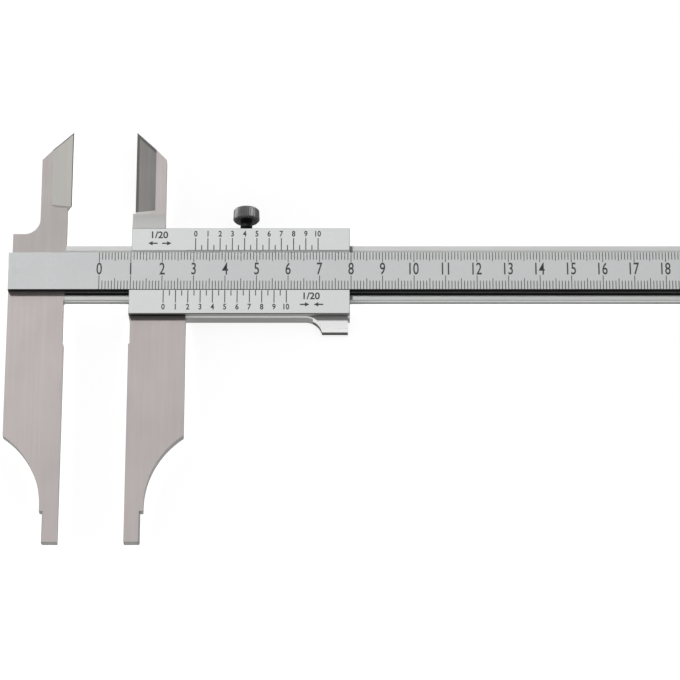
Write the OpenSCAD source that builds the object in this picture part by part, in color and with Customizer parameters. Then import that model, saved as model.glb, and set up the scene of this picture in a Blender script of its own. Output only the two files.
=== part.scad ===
// Workshop caliper with two vernier scales, nibbed jaws below the beam and knife points above it.
// It lies on its back: +X runs along the beam, +Y towards the knife points, +Z out of the scale face.
// The origin is on the fixed measuring face, level with the beam's lower edge, half way through the jaw.
// Distances called outward are measured away from a jaw's own measuring face.

/* [Opening] */
// Largest opening of the jaws
range_len = 250; // [120:5:400]
// Opening of the jaws at rest, as the scale reads it
rest_open = 20.5; // [2:0.5:60]

/* [Beam] */
// Distance from the fixed measuring face to the scale's zero line
zero_offset = 10.9; // [8:0.1:16]
// Scale length beyond the range, which the vernier needs
scale_spare = 40; // [40:1:60]
// Blank end of the beam after the last scale line
end_blank = 33.3; // [20:0.1:50]
// Height of the beam
beam_h = 18.9; // [16:0.1:24]
// Thickness of the two rails that the slider runs on
rail_t = 3.4; // [3:0.1:5]
// Height of each rail, from the beam's edge to the rib
rail_h = 3.15; // [2.6:0.05:4]
// Height of the rib's face above the rails
rib_step = 2; // [1.6:0.1:2.4]
// Width of the undercut at the foot of the rib
undercut_w = 0.5; // [0.3:0.1:0.8]
// Depth of the undercut at the foot of the rib
undercut_d = 0.3; // [0.2:0.05:0.5]
// Bevel along the beam's long edges
beam_bevel = 0.25; // [0.1:0.05:0.5]
// Bevel on the corners of the beam's free end
end_bevel = 0.8; // [0.3:0.1:2]

/* [Jaws] */
// Width of both jaws at the beam
jaw_w = 18; // [15:0.5:22]
// Length of the jaws below the beam
jaw_len = 80; // [65:1:110]
// Width of the narrow shank above the nib
shank_w = 5.9; // [5.5:0.1:8]
// Height of the hollow curve's centre above the nib's tip
curve_up = 11.7; // [10.5:0.1:18]
// Radius of the hollow curve that narrows the jaw
curve_r = 28; // [16:0.5:32]
// Height of the relief between the beam and the measuring faces
root_h = 14.5; // [7:0.5:20]
// Depth of that relief
root_d = 0.4; // [0.2:0.05:0.8]
// Height of the nib for inside measurement
nib_h = 10; // [6:0.5:11]
// Width of one nib, two of which make the inside allowance
nib_w = 5; // [4:0.1:5.2]
// Radius of the nib's round outer face
nib_r = 4.5; // [4:0.1:8]

/* [Knife points] */
// Height of the knife points above the beam
knife_up = 40.2; // [30:0.2:50]
// Height of the moving blade's ground knife edge
knife_edge_h = 29.2; // [16:0.2:30]
// Height by which the fixed blade's ground edge starts further up
fixed_foot_up = 2; // [0:0.1:3]
// Distance from the measuring plane to the line where the knife edges meet
knife_line = 1.3; // [0.8:0.1:1.5]
// Width of a knife blade, from its edge to its back
blade_w = 9.8; // [8:0.1:12]
// Drop of the slanted top, from the point to the blade's back
slant_drop = 10.3; // [6:0.1:14]
// Width of the ground bevel
bevel_w = 6.4; // [3:0.1:7]
// Thickness left at the knife edge
edge_land = 0.3; // [0.2:0.05:0.6]
// Radius that the grinding wheel leaves at the foot of the bevel
wheel_r = 1.2; // [1:0.1:1.6]
// Width of the fixed jaw's shoulder above the beam
shoulder_w = 17; // [14:0.1:17.5]
// Height of the shoulder above the beam
shoulder_up = 4; // [3:0.1:8]
// Radius between the shoulder and the blade
shoulder_r = 5; // [3:0.1:6]
// Radius of the ramp between the moving blade and the upper scale plate
ramp_r = 9; // [3:0.5:12]

/* [Jaw rivets] */
// Diameter of a jaw rivet
rivet_d = 3; // [2:0.1:3.5]
// Diameter of the rivet's closed head at the back
rivet_head_d = 4.4; // [4:0.1:5.5]
// Distance from the rivets to the ends of the lap
rivet_in_x = 4.4; // [3.5:0.1:6]
// Distance from the rivets to the edges of the rib
rivet_in_y = 3.4; // [2.8:0.1:4.5]

/* [Slider] */
// Length of the slider
slider_len = 70; // [66:1:100]
// Width of the slider below the beam
low_wall = 5.3; // [4.5:0.1:8]
// Width of the slider above the beam, with the gib in it
top_wall = 5.2; // [5:0.1:8]
// Thickness of the slider's back wall
back_t = 2.35; // [1.6:0.05:3]
// Running clearance between the slider and the beam
slide_clear = 0.05; // [0.02:0.01:0.08]
// Distance that its upper part stands back from the moving measuring face
upper_in = 0.6; // [0.2:0.1:0.8]
// Gap between the lower scale plate and the rib
low_gap = 0.1; // [0.05:0.05:0.4]
// Gap between the upper scale plate and the rib
top_gap = 0.15; // [0.05:0.05:0.9]
// Bevel along the lower front edge of the lower scale plate
low_bevel = 0.2; // [0.1:0.05:0.4]
// Bevel along the lower front edge of the upper scale plate, where it meets the rib
top_bevel = 0.55; // [0.1:0.05:0.8]

/* [Thumb rest] */
// Length of the thumb rest's flat
thumb_flat = 8.2; // [5:0.1:14]
// Depth of the thumb rest below the slider
thumb_drop = 4.2; // [3:0.1:5]
// Radius of the hollow curve that leads to it
thumb_r = 5.4; // [5:0.1:12]
// Distance from the thumb rest to the slider's end
thumb_in = 0.6; // [0.2:0.1:2]

/* [Gib] */
// Thickness of the gib strip
gib_t = 1.5; // [1:0.1:1.8]
// Distance from the gib strip to each end of the slider
gib_in = 4.5; // [3:0.5:8]
// Diameter of the gib's set screws
set_d = 2; // [1.6:0.1:2.5]
// Distance from the set screws to the ends of the slider
set_in = 14; // [10:0.5:16]
// Depth of a set screw below the slider's upper edge
set_sunk = 0.6; // [0.3:0.1:1]

/* [Lock screw] */
// Distance from the moving measuring face to the lock screw
lock_x = 36.9; // [30:0.1:42]
// Height of the lock screw's axis above the middle of the jaws
lock_z = 0.15; // [0:0.05:0.2]
// Diameter of the lock screw's thread
lock_d = 3; // [2.5:0.1:3.2]
// Diameter of the brass pad under the screw
pad_d = 2.8; // [2.2:0.1:2.9]
// Thickness of the brass pad
pad_t = 0.95; // [0.6:0.05:1.5]
// Diameter of the collar under the head
collar_d = 3.8; // [3.4:0.1:7]
// Height of the collar under the head
collar_h = 2.2; // [0.5:0.1:4]
// Gap under the collar when the screw is tight
collar_gap = 1.45; // [1.15:0.05:4]
// Diameter of the knurled head
knob_d = 8.5; // [7:0.1:12]
// Height of the knurled head
knob_h = 4.2; // [3:0.1:7]
// Number of grooves in the knurl
knurl_count = 30; // [20:1:40]
// Depth of a knurl groove
knurl_d = 0.3; // [0.15:0.05:0.5]
// Share of a knurl tooth's pitch that its crest takes
knurl_crest = 0.3; // [0.2:0.05:0.4]
// Bevel at both ends of the knurled head
knob_bevel = 0.7; // [0.3:0.1:1]
// Depth that the screw's end reaches into the knurled head
spigot_h = 2.9; // [1.5:0.1:3.5]

/* [Plate screws] */
// Diameter of the screws that hold the scale plates
plate_screw_d = 1.6; // [1.2:0.1:1.8]
// Diameter of their countersunk heads
plate_head_d = 3; // [2.4:0.1:3.2]
// Depth that they reach into a scale plate
plate_bite = 1.2; // [0.8:0.1:1.4]
// Distance from the end screws to the ends of the slider
plate_in = 7; // [5:0.5:9]
// Number of screws along each plate
plate_count = 4; // [2:2:4]
// Space around a screw in the hole that it passes through
pass_gap = 0.1; // [0.05:0.05:0.2]

/* [End stop] */
// Length of the end stop along the beam
stop_len = 7; // [5:0.5:12]
// Height of the end stop across the beam
stop_h = 12; // [8:0.5:15]
// Distance from the end stop to the beam's free end
stop_in = 2.5; // [1.5:0.5:6]
// Diameter of the end stop's two screws
stop_screw_d = 2; // [1.6:0.1:2.5]
// Diameter of their countersunk heads
stop_head_d = 3.8; // [3:0.1:4.4]
// Distance between the end stop's two screws
stop_pitch = 6.5; // [5:0.5:9]
// Depth that they reach into the beam
stop_bite = 2.4; // [1.5:0.1:2.8]

/* [Fits] */
// Space around a screw's thread in its tapped hole
thread_fit = 0.03; // [0.02:0.01:0.08]
// Depth of the slot in a screw head
slot_depth = 0.5; // [0.3:0.1:0.7]
// Width of the slot in a screw head
slot_w = 0.5; // [0.3:0.1:0.6]

/* [Hidden] */
$fn = 64;
// How far a cutting shape runs past the surface that it cuts
over = 1;
steel = "lightgray";
jaw_steel = "silver";
bright_steel = "gainsboro";

// Levels through the thickness
jaw_t = rail_t + 2 * slide_clear;
jaw_z = jaw_t / 2;
rail_z = rail_t / 2;
front_z = rail_z + rib_step;
lap_z = 0;
back_z = -jaw_z - back_t;
through = jaw_t + 2 * over;

// Places along the beam
beam_end = zero_offset + range_len + scale_spare + end_blank;
stop_x = beam_end - stop_in - stop_len;
stop_screw_len = -rail_z - back_z + stop_bite;

// Heights across the beam
rib_low = rail_h;
rib_top = beam_h - rail_h;
slider_low = -low_wall;
slider_top = beam_h + top_wall;
gib_low = beam_h + slide_clear;
gib_top = gib_low + gib_t;
knife_tip = beam_h + knife_up;
knife_foot = knife_tip - knife_edge_h;
bevel_a = atan((jaw_z - edge_land / 2) / bevel_w);

// Places along the slider, from the moving measuring face
set_places = [set_in, slider_len - set_in];
plate_pitch = (slider_len - 2 * plate_in) / (plate_count - 1);
plate_places = [for (i = [0 : plate_count - 1]) plate_in + i * plate_pitch];
plate_z = front_z - jaw_z;
plate_clear = jaw_z - back_z;
plate_screw_len = plate_clear + plate_bite;
low_screw_y = -low_wall / 2;
top_screw_y = (gib_top + thread_fit + slider_top) / 2;

// Heights along the lock screw
pad_low = gib_top + thread_fit;
screw_tip = pad_low + pad_t;
collar_low = slider_top + collar_gap;
knob_low = collar_low + collar_h;

// Box between two opposite corners
module block(low, high) {
    translate(low) cube(high - low);
}

// Cylinder along +Y that starts at height y
module rod_y(x, y, z, d, h) {
    translate([x, y, z]) rotate([-90, 0, 0]) cylinder(d = d, h = h);
}

// Puts a piece that is drawn outward from a measuring face onto the fixed jaw
module fixed_side() {
    mirror([1, 0, 0]) children();
}

// Puts a piece that is drawn outward from a measuring face onto the slider at rest
module slider_side() {
    translate([rest_open, 0, 0]) children();
}

// Countersunk screw that points along +Z, with its flat head at z = 0
module flat_screw(d, head_d, length) {
    head_h = (head_d - d) / 2;
    difference() {
        union() {
            cylinder(d = d, h = length);
            cylinder(d1 = head_d, d2 = d, h = head_h);
        }
        block([-head_d, -slot_w / 2, -over], [head_d, slot_w / 2, slot_depth]);
    }
}

// Hole for such a screw: a clear part of the given depth, then a tapped part
module flat_screw_hole(d, head_d, clear_depth, length) {
    head_h = (head_d - d) / 2;
    translate([0, 0, -over]) cylinder(d = d + 2 * pass_gap, h = clear_depth + over);
    cylinder(d = d + 2 * thread_fit, h = length + thread_fit);
    cylinder(d1 = head_d + 2 * pass_gap, d2 = d + 2 * pass_gap, h = head_h);
    translate([0, 0, -over]) cylinder(d = head_d + 2 * pass_gap, h = over);
}

// Lower jaw as a flat plate, drawn outward, from its tip up to the height top
module lower_jaw(top) {
    curve_y = -jaw_len + curve_up;
    nib_y = -jaw_len + nib_h;
    difference() {
        block([0, nib_y, -jaw_z], [jaw_w, top, jaw_z]);
        translate([shank_w + curve_r, curve_y, -jaw_z - over]) cylinder(r = curve_r, h = through);
        block([shank_w, nib_y - over, -jaw_z - over], [jaw_w + over, curve_y, jaw_z + over]);
        block([-over, -root_h, -jaw_z - over], [root_d, min(top, 0), jaw_z + over]);
    }
    intersection() {
        block([0, -jaw_len, -jaw_z], [nib_w, nib_y, jaw_z]);
        rod_y(nib_w - nib_r, -jaw_len - over, 0, 2 * nib_r, nib_h + 2 * over);
    }
}

// Cutter for one face of a knife blade, which leaves the bevel and the wheel's run-out
module bevel_cutter(edge, foot) {
    translate([edge, foot + wheel_r, edge_land / 2]) rotate([0, -bevel_a, 0])
        translate([-over, 0, 0]) rotate([90, 0, 90]) linear_extrude(blade_w + 2 * over) {
            translate([0, wheel_r]) circle(wheel_r);
            translate([-wheel_r, wheel_r]) square([wheel_r, jaw_t]);
            square([knife_edge_h, jaw_t]);
        }
}

// Knife blade as a plate ground from both faces, drawn outward from height low to the point; below the
// height foot it is not ground and starts at root
module knife(edge, root, low, foot) {
    heel = edge + blade_w;
    difference() {
        translate([0, 0, -jaw_z]) linear_extrude(jaw_t) polygon([
            [root, low], [heel, low], [heel, knife_tip - slant_drop], [edge, knife_tip],
            [edge, foot + abs(edge - root)], [root, foot]
        ]);
        bevel_cutter(edge, foot);
        mirror([0, 0, 1]) bevel_cutter(edge, foot);
    }
}

// Section across the beam, drawn with its height along x and its thickness along y
module beam_section() {
    difference() {
        polygon([
            [beam_bevel, -rail_z], [beam_h - beam_bevel, -rail_z], [beam_h, -rail_z + beam_bevel],
            [beam_h, rail_z - beam_bevel], [beam_h - beam_bevel, rail_z], [rib_top, rail_z],
            [rib_top, front_z], [rib_low, front_z], [rib_low, rail_z],
            [beam_bevel, rail_z], [0, rail_z - beam_bevel], [0, -rail_z + beam_bevel]
        ]);
        translate([rib_low - undercut_w, rail_z - undercut_d]) square([undercut_w, undercut_d + over]);
        translate([rib_top, rail_z - undercut_d]) square([undercut_w, undercut_d + over]);
    }
}

// Places of the four jaw rivets
module at_rivets() {
    for (x = [-rivet_in_x, -jaw_w + rivet_in_x], y = [rib_low + rivet_in_y, rib_top - rivet_in_y])
        translate([x, y, 0]) children();
}

// One jaw rivet, closed flush at the back and at the front
module rivet() {
    head_h = (rivet_head_d - rivet_d) / 2;
    translate([0, 0, -jaw_z]) cylinder(d = rivet_d, h = jaw_z + front_z);
    translate([0, 0, -jaw_z]) cylinder(d1 = rivet_head_d, d2 = rivet_d, h = head_h);
}

// Places of the end stop's two screws, on the stop's outer face
module at_stop_screws() {
    for (side = [-1, 1])
        translate([stop_x + stop_len / 2, beam_h / 2 + side * stop_pitch / 2, back_z]) children();
}

// Places of a scale plate's screws at height y, on the slider's back
module at_plate_screws(y) {
    for (x = plate_places) translate([x, y, back_z]) children();
}

module beam() {
    color(steel) difference() {
        union() {
            rotate([90, 0, 90]) linear_extrude(beam_end) beam_section();
            block([-jaw_w, rib_low, lap_z], [0, rib_top, front_z]);
        }
        at_rivets() translate([0, 0, lap_z - over]) cylinder(d = rivet_d, h = front_z + 2 * over);
        at_stop_screws() flat_screw_hole(stop_screw_d, stop_head_d, 0, stop_screw_len);
        for (y = [0, beam_h]) translate([beam_end, y, -rail_z - over]) rotate(45)
            block([-end_bevel / sqrt(2), -end_bevel, 0], [end_bevel, end_bevel, front_z + rail_z + 2 * over]);
    }
}

module fixed_jaw() {
    color(jaw_steel) difference() {
        union() {
            fixed_side() lower_jaw(beam_h);
            fixed_side() knife(-knife_line, 0, beam_h, knife_foot + fixed_foot_up);
            fixed_side() shoulder();
        }
        block([-jaw_w - over, rib_low, lap_z], [over, rib_top, jaw_z + over]);
        fixed_side() block([shoulder_w, rib_top, -jaw_z - over], [jaw_w + over, knife_tip, jaw_z + over]);
        at_rivets() translate([0, 0, -jaw_z]) {
            translate([0, 0, -over]) cylinder(d = rivet_d, h = jaw_t + over);
            cylinder(d1 = rivet_head_d, d2 = rivet_d, h = (rivet_head_d - rivet_d) / 2);
        }
    }
}

// Shoulder of the fixed jaw with the round corner that leads to the blade, drawn outward
module shoulder() {
    top = beam_h + shoulder_up;
    heel = blade_w - knife_line;
    block([0, beam_h - over, -jaw_z], [shoulder_w, top, jaw_z]);
    difference() {
        block([heel - over, top - over, -jaw_z], [heel + shoulder_r, top + shoulder_r, jaw_z]);
        translate([heel + shoulder_r, top + shoulder_r, -jaw_z - over]) cylinder(r = shoulder_r, h = through);
    }
}

module jaw_rivets() {
    color(bright_steel) at_rivets() rivet();
}

module end_stop() {
    low = (beam_h - stop_h) / 2;
    color(steel) difference() {
        block([stop_x, low, back_z], [stop_x + stop_len, low + stop_h, -rail_z]);
        at_stop_screws() flat_screw_hole(stop_screw_d, stop_head_d, stop_screw_len, stop_screw_len);
    }
}

module end_stop_screws() {
    color(bright_steel) at_stop_screws() flat_screw(stop_screw_d, stop_head_d, stop_screw_len);
}

// Thumb rest below the slider's end, drawn from the moving measuring face
module thumb_rest() {
    right = slider_len - thumb_in;
    left = right - thumb_flat;
    run = sqrt(pow(thumb_r, 2) - pow(thumb_r - thumb_drop, 2));
    difference() {
        block([left - run, slider_low - thumb_drop, back_z], [right, slider_low + over, jaw_z]);
        translate([left - run, slider_low - thumb_r, back_z - over])
            cylinder(r = thumb_r, h = jaw_z - back_z + 2 * over);
    }
}

// Ramp that rises from the moving blade to the upper scale plate
module knife_ramp() {
    run = sqrt(pow(ramp_r, 2) - pow(ramp_r - plate_z, 2));
    high = min(slider_top + run, knife_foot);
    difference() {
        block([upper_in, slider_top, jaw_z - over], [knife_line + blade_w, high, front_z]);
        translate([-over, slider_top + run, jaw_z + ramp_r]) rotate([0, 90, 0])
            cylinder(r = ramp_r, h = blade_w + knife_line + 2 * over);
    }
}

module slider_body() {
    color(jaw_steel) slider_side() difference() {
        union() {
            block([0, slider_low, back_z], [slider_len, slider_top, jaw_z]);
            lower_jaw(slider_low);
            knife(knife_line, upper_in, slider_top - over, knife_foot);
            knife_ramp();
            thumb_rest();
        }
        block([-over, -slide_clear, -jaw_z], [slider_len + over, gib_low + slide_clear, jaw_z + over]);
        block([-over, beam_h, back_z - over], [upper_in, slider_top + over, jaw_z + over]);
        block([gib_in - slide_clear, beam_h / 2, -jaw_z],
              [slider_len - gib_in + slide_clear, gib_top + thread_fit, jaw_z + over]);
        rod_y(lock_x, beam_h, lock_z, lock_d + 2 * thread_fit, top_wall + over);
        for (x = set_places) rod_y(x, beam_h, 0, set_d + 2 * thread_fit, top_wall + over);
        for (y = [low_screw_y, top_screw_y]) at_plate_screws(y)
            flat_screw_hole(plate_screw_d, plate_head_d, plate_clear + over, plate_screw_len);
    }
}

// Scale plate between two heights, from its left end on, with a bevel along its lower front edge
module scale_plate(left, low, high, bevel, screw_y) {
    difference() {
        translate([left, 0, 0]) rotate([90, 0, 90]) linear_extrude(slider_len - left) polygon([
            [low, jaw_z], [high, jaw_z], [high, front_z],
            [low + bevel, front_z], [low, front_z - bevel]
        ]);
        at_plate_screws(screw_y) flat_screw_hole(plate_screw_d, plate_head_d, 0, plate_screw_len);
    }
}

module upper_scale_plate() {
    color(bright_steel) slider_side()
        scale_plate(upper_in, rib_top + top_gap, slider_top, top_bevel, top_screw_y);
}

module lower_scale_plate() {
    color(bright_steel) slider_side()
        scale_plate(0, slider_low, rib_low - low_gap, low_bevel, low_screw_y);
}

module upper_plate_screws() {
    color(bright_steel) slider_side() at_plate_screws(top_screw_y)
        flat_screw(plate_screw_d, plate_head_d, plate_screw_len);
}

module lower_plate_screws() {
    color(bright_steel) slider_side() at_plate_screws(low_screw_y)
        flat_screw(plate_screw_d, plate_head_d, plate_screw_len);
}

module gib_strip() {
    color("goldenrod") slider_side()
        block([gib_in, gib_low, -rail_z], [slider_len - gib_in, gib_top, rail_z]);
}

module gib_set_screws() {
    length = slider_top - set_sunk - gib_top;
    color("dimgray") slider_side() for (x = set_places) difference() {
        rod_y(x, gib_top, 0, set_d, length);
        block([x - set_d, gib_top + length - slot_depth, -slot_w / 2],
              [x + set_d, gib_top + length + over, slot_w / 2]);
    }
}

module lock_pad() {
    color("goldenrod") slider_side() rod_y(lock_x, pad_low, lock_z, pad_d, pad_t);
}

module lock_screw() {
    color(bright_steel) slider_side() {
        rod_y(lock_x, screw_tip, lock_z, lock_d, knob_low - screw_tip + spigot_h);
        rod_y(lock_x, collar_low, lock_z, collar_d, collar_h);
    }
}

// Outline of the knurl, a ring of shallow grooves
module knurl_outline() {
    crest = knob_d / 2;
    step = 360 / knurl_count;
    polygon([for (i = [0 : knurl_count - 1], part = [0 : 2])
        let (r = part == 2 ? crest - knurl_d : crest, a = (i + part * knurl_crest) * step)
        [r * cos(a), r * sin(a)]]);
}

module lock_knob() {
    neck = knob_d / 2 - knob_bevel;
    reach = knob_h / 2;
    color("dimgray") slider_side() translate([lock_x, knob_low, lock_z]) rotate([-90, 0, 0]) difference() {
        intersection() {
            linear_extrude(knob_h) knurl_outline();
            rotate_extrude() polygon([[0, 0], [neck, 0], [neck + reach, reach], [neck, knob_h], [0, knob_h]]);
        }
        translate([0, 0, -over]) cylinder(d = lock_d + 2 * thread_fit, h = spigot_h + over + thread_fit);
    }
}

beam();
fixed_jaw();
jaw_rivets();
end_stop();
end_stop_screws();
slider_body();
upper_scale_plate();
lower_scale_plate();
upper_plate_screws();
lower_plate_screws();
gib_strip();
gib_set_screws();
lock_pad();
lock_screw();
lock_knob();
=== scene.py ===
# %% [markdown]
# Dressing a workshop caliper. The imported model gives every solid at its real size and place. This
# lesson gives those solids the looks of the real tool: satin scale faces, ground jaws, black
# scale lines and figures, a knurled lock screw, and light that shows how the steel was worked.

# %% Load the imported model
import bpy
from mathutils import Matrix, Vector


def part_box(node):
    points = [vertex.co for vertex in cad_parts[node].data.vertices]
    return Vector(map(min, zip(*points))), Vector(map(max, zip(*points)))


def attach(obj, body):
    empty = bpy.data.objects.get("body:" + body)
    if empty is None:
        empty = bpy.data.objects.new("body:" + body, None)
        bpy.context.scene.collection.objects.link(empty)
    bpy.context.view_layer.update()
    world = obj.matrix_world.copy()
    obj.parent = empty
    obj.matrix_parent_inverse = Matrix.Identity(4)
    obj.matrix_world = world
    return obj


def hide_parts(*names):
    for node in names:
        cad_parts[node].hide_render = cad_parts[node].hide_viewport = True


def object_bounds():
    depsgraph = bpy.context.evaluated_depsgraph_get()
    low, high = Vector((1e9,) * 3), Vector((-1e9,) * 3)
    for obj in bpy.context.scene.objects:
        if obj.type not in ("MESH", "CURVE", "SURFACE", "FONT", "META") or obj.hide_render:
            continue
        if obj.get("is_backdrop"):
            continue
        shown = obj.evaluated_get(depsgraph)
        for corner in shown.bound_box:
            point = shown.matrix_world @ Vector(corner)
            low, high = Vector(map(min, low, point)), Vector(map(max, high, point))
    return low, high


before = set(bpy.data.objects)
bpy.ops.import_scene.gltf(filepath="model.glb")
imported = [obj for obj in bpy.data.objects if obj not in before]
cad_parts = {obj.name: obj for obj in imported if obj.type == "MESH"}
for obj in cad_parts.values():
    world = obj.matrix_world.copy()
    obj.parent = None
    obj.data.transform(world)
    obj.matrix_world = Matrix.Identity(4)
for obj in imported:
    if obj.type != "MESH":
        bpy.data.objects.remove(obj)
CAD_LOW, CAD_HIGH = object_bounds()

# %% [markdown]
# Blender works in metres and the tool is drawn in millimetres, so one factor turns one into the
# other. The frame is the tool's own: X runs along the beam from the fixed measuring face, Y
# across the beam towards the knife points, and Z out of the scale face. The outer size of a solid
# is read from it and not written down again, so that the looks stay on the tool.

# %% Units, directions and the sizes of the solids
import math

import bmesh
import bpy
from mathutils import Matrix, Vector

MM = 0.001
ALONG = Vector((1, 0, 0))
ACROSS = Vector((0, 1, 0))
UPWARDS = Vector((0, 0, 1))


def box_mm(node):
    """Lowest and highest corner of a CAD node, in millimetres."""
    low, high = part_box(node)
    return Vector(low) / MM, Vector(high) / MM


BEAM_HIGH = box_mm("beam")[1]
UPPER_LOW, UPPER_HIGH = box_mm("upper_scale_plate")
LOWER_LOW, LOWER_HIGH = box_mm("lower_scale_plate")
FACE_Z = BEAM_HIGH.z
SLIDER_X = LOWER_LOW.x
print("scale face at z", round(FACE_Z, 3), "mm, slider starts at x", round(SLIDER_X, 3), "mm")

# %% [markdown]
# The photograph was taken with a long lens from a little below the tool's middle, so the faces
# that look down the picture show as thin bands. The tilt and the distance come from those bands
# and from the lean of upright edges. The camera is set by the point it aims at, its tilt and its
# distance, because those three can be changed one at a time.

# %% Camera at the photograph's viewing angle
AIM = Vector((87.39, -14.10, 3.7)) * MM
CAMERA_TILT = math.radians(20.94)
CAMERA_DISTANCE = 1046.1 * MM
SENSOR_WIDTH = 36
LENS_LENGTH = 175.8

camera_data = bpy.data.cameras.new("camera")
camera_data.sensor_width = SENSOR_WIDTH
camera_data.lens = LENS_LENGTH
camera_data.clip_start = 0.01
camera = bpy.data.objects.new("camera", camera_data)
towards_camera = Vector((0, -math.sin(CAMERA_TILT), math.cos(CAMERA_TILT)))
camera.location = AIM + towards_camera * CAMERA_DISTANCE
camera.rotation_mode = "QUATERNION"
camera.rotation_quaternion = (-towards_camera).to_track_quat("-Z", "Y")
bpy.context.collection.objects.link(camera)
bpy.context.scene.camera = camera
print("camera", [round(c, 3) for c in camera.location], "lens", camera_data.lens)

# %% [markdown]
# Polished and satin steel has hardly a colour of its own: it shows what is around it. A plain
# soft dome would fill every step with light and flatten the tool. So the dome is brighter near
# the horizon than overhead. A colour ramp over the height of each ray does that without a
# picture.

# %% Dome
HORIZON_LIGHT = 0.50
ZENITH_LIGHT = 0.10
ZENITH_BLUE = 1.02
HORIZON_HEIGHT = 0.30
ZENITH_HEIGHT = 0.80

world = bpy.data.worlds.new("studio")
world.use_nodes = True
bpy.context.scene.world = world
sky = world.node_tree
sky.nodes.clear()
sky_output = sky.nodes.new("ShaderNodeOutputWorld")
sky_light = sky.nodes.new("ShaderNodeBackground")
sky_ramp = sky.nodes.new("ShaderNodeValToRGB")
sky_split = sky.nodes.new("ShaderNodeSeparateXYZ")
sky_place = sky.nodes.new("ShaderNodeTexCoord")
horizon, zenith = sky_ramp.color_ramp.elements
horizon.position = HORIZON_HEIGHT
horizon.color = (HORIZON_LIGHT, HORIZON_LIGHT, HORIZON_LIGHT, 1)
zenith.position = ZENITH_HEIGHT
zenith.color = (ZENITH_LIGHT, ZENITH_LIGHT, ZENITH_LIGHT * ZENITH_BLUE, 1)
sky.links.new(sky_place.outputs["Generated"], sky_split.inputs[0])
sky.links.new(sky_split.outputs["Z"], sky_ramp.inputs[0])
sky.links.new(sky_light.outputs[0], sky_output.inputs["Surface"])
print("dome:", HORIZON_LIGHT, "at the horizon,", ZENITH_LIGHT, "overhead")

# %% [markdown]
# Two soft boxes of different brightness, one on each side, tell the faces that lean to the right
# from those that lean to the left. Each is a round patch of light on the dome. The dot product of
# a ray and the patch's direction says how near to its middle the ray goes.

# %% Soft boxes
SOFT_BOXES = (
    (Vector((0.46, 0.36, 0.81)), 0.46),
    (Vector((-0.46, 0.36, 0.81)), 0.10),
)
SOFT_BOX_RIM = math.cos(math.radians(16))
SOFT_BOX_CORE = math.cos(math.radians(8))


def add_soft_box(light_so_far, direction, brightness):
    """Adds a round patch of light to the dome, bright at its core and fading towards its rim."""
    nearness = sky.nodes.new("ShaderNodeVectorMath")
    nearness.operation = "DOT_PRODUCT"
    nearness.inputs[1].default_value = direction.normalized()
    patch = sky.nodes.new("ShaderNodeMapRange")
    patch.interpolation_type = "SMOOTHSTEP"
    patch.inputs["From Min"].default_value = SOFT_BOX_RIM
    patch.inputs["From Max"].default_value = SOFT_BOX_CORE
    patch.inputs["To Max"].default_value = brightness
    total = sky.nodes.new("ShaderNodeVectorMath")
    total.operation = "ADD"
    sky.links.new(sky_place.outputs["Generated"], nearness.inputs[0])
    sky.links.new(nearness.outputs["Value"], patch.inputs["Value"])
    sky.links.new(light_so_far, total.inputs[0])
    sky.links.new(patch.outputs[0], total.inputs[1])
    return total.outputs[0]


sky_colour = sky_ramp.outputs["Color"]
for direction, brightness in SOFT_BOXES:
    sky_colour = add_soft_box(sky_colour, direction, brightness)
sky.links.new(sky_colour, sky_light.inputs["Color"])
print(len(SOFT_BOXES), "soft boxes on the dome")

# %% [markdown]
# A firm key light from the upper left draws the dark bands under the rib and the plates. It is a
# sun lamp, because a lamp far from so small a tool gives parallel rays, and a wide angle softens
# its shadows. It is linked to the tool alone: it models the steel and throws no hard shadow over
# the floor. Every piece that is made later joins that collection.

# %% Key light
KEY_DIRECTION = Vector((-0.50, 0.86, 1.0)).normalized()
KEY_STRENGTH = 1.85
KEY_ANGLE = math.radians(8)

key_data = bpy.data.lights.new("key", "SUN")
key_data.energy = KEY_STRENGTH
key_data.angle = KEY_ANGLE
key = bpy.data.objects.new("key", key_data)
key.rotation_mode = "QUATERNION"
key.rotation_quaternion = (-KEY_DIRECTION).to_track_quat("-Z", "Y")
bpy.context.collection.objects.link(key)
tool_only = bpy.data.collections.new("lit_by_key")
key.light_linking.receiver_collection = tool_only
bpy.context.scene.view_settings.view_transform = "Standard"
print("key light from", [round(c, 2) for c in KEY_DIRECTION])

# %% [markdown]
# The tool lies on a pale floor, which is white in the photograph. A white surface under a dome
# this dim would come out grey, so most of the floor's brightness is a glow of its own. The dome
# still gives the soft shadow where the steel lies on it.

# %% Floor
FLOOR_SIZE = 4.0
FLOOR_COLOUR = (0.86, 0.86, 0.86)
FLOOR_GLOW = 0.80
FLOOR_Z = CAD_LOW.z


def plain_material(name, colour, roughness):
    """Material with one Principled shader, ready for textures."""
    made = bpy.data.materials.new(name)
    made.use_nodes = True
    shader = made.node_tree.nodes["Principled BSDF"]
    shader.inputs["Base Color"].default_value = (*colour, 1)
    shader.inputs["Roughness"].default_value = roughness
    return made, shader


floor_material, floor_shader = plain_material("pale_floor", FLOOR_COLOUR, 0.9)
floor_shader.inputs["Specular IOR Level"].default_value = 0.1
floor_shader.inputs["Emission Color"].default_value = (1, 1, 1, 1)
floor_shader.inputs["Emission Strength"].default_value = FLOOR_GLOW
half = FLOOR_SIZE / 2
floor_mesh = bpy.data.meshes.new("floor")
floor_mesh.from_pydata(
    [(-half, -half, 0), (half, -half, 0), (half, half, 0), (-half, half, 0)], [], [(0, 1, 2, 3)]
)
floor_mesh.materials.append(floor_material)
floor = bpy.data.objects.new("floor", floor_mesh)
floor.location.z = FLOOR_Z
bpy.context.collection.objects.link(floor)
floor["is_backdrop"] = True
print("floor at z", round(FLOOR_Z / MM, 2), "mm")

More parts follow.
